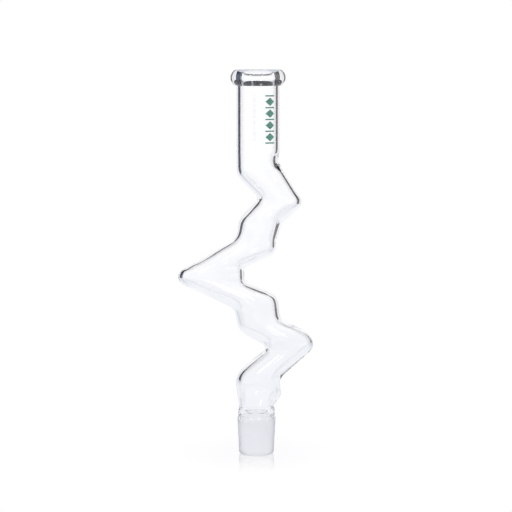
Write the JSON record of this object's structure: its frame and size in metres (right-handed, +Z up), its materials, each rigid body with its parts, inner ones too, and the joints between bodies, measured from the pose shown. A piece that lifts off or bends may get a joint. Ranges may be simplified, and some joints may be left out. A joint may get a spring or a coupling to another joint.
{
  "type": "zigzag glass neck section",
  "caption": "Upright clear glass tube with a thick rounded mouth ring, three sharp zigzag elbows, a small bulb and a frosted tapered male ground joint as its foot.",
  "frame": {"origin": "centre of the foot of the ground joint, on the joint's axis", "axes": "+Z up along the joint's axis towards the mouth, the zigzag lies in the XZ plane with elbows 1 and 3 towards +X and elbow 2 towards -X, and the neck mark is on the -Y side"},
  "size_m": [0.1405, 0.0572, 0.401],
  "materials": {
    "clear_glass": "clear polished",
    "ground_glass": "finely ground, with a clear shank above the cone",
    "green_enamel": "fired enamel print"
  },
  "bodies": {
    "root": {"mouth_ring": "clear_glass", "body_tube": "clear_glass", "ground_joint": "ground_glass", "neck_mark": "green_enamel"}
  },
  "joints": []
}
